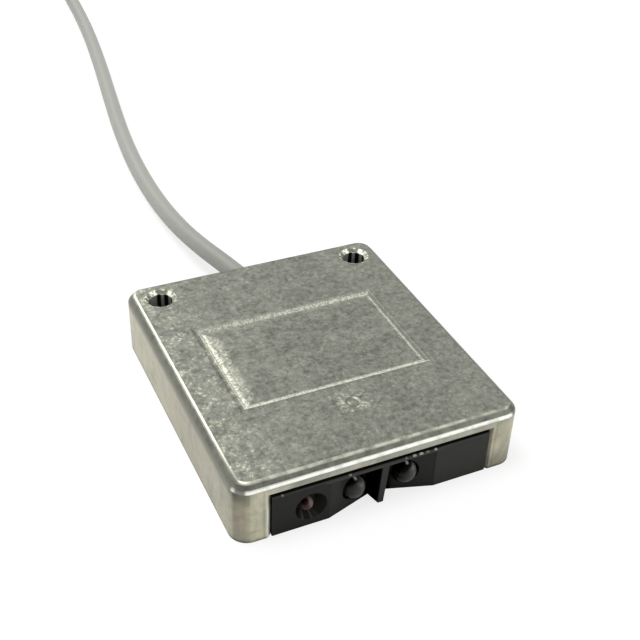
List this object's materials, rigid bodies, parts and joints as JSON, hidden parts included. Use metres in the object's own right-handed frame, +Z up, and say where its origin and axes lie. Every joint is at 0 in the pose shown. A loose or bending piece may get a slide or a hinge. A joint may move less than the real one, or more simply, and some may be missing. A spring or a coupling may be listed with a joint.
{
  "type": "photoelectric yarn sensor",
  "caption": "Flat die-cast sensor with a black optic block in its front, a notch with a fin between domed lenses, and a grey cable at the back.",
  "frame": {"origin": "middle of the housing's underside, without the cable", "axes": "+Z up from the underside to the label field, -Y the way the optics look, +Y the way the cable leaves, +X across"},
  "size_m": [0.0914, 0.4259, 0.0206],
  "materials": {
    "cast_alloy": "tumbled die casting, matt with a fine grain",
    "black_moulding": "satin black moulding",
    "black_plate": "matt black plate",
    "dark_epoxy": "clear to infrared, dark to the eye",
    "red_epoxy": "red tinted lamp",
    "tinned_wire": "tinned",
    "zinc_steel": "zinc plated",
    "seal_rubber": "matt",
    "board_green": "solder mask",
    "chip_black": "moulded case",
    "can_metal": "bright can",
    "ceramic_tan": "ceramic",
    "insulation_brown": "core insulation",
    "insulation_blue": "core insulation",
    "insulation_black": "core insulation",
    "cable_grey": "grey jacket"
  },
  "bodies": {
    "root": {"housing": "cast_alloy", "optic_block": "black_moulding", "emitter_lamp": "dark_epoxy", "receiver_lamp": "dark_epoxy", "indicator_lamp": "red_epoxy", "emitter_leads": "tinned_wire", "receiver_leads": "tinned_wire", "indicator_leads": "tinned_wire", "base_cover": "black_plate", "base_gasket": "seal_rubber", "cover_screw_1": "zinc_steel", "cover_screw_2": "zinc_steel", "cover_screw_3": "zinc_steel", "cover_screw_4": "zinc_steel", "board_screw_1": "zinc_steel", "board_screw_2": "zinc_steel", "board_screw_3": "zinc_steel", "board_screw_4": "zinc_steel", "optic_screw_left": "zinc_steel", "optic_screw_right": "zinc_steel", "clamp_screw_left": "zinc_steel", "clamp_screw_right": "zinc_steel", "circuit_board": "board_green", "amplifier_chip": "chip_black", "logic_chip": "chip_black", "regulator": "chip_black", "output_transistor": "chip_black", "protection_diode": "chip_black", "smoothing_capacitor": "can_metal", "chip_resistors": "chip_black", "chip_capacitors": "ceramic_tan", "solder_joints": "tinned_wire", "core_brown": "insulation_brown", "core_blue": "insulation_blue", "core_black": "insulation_black", "cable_inside": "cable_grey", "cable_clamp": "zinc_steel", "cable_grommet": "seal_rubber", "cable": "cable_grey", "cable_coil": "cable_grey", "cable_tail": "cable_grey", "end_sleeve": "seal_rubber", "end_wire_brown": "insulation_brown", "end_wire_blue": "insulation_blue", "end_wire_black": "insulation_black"}
  },
  "joints": []
}
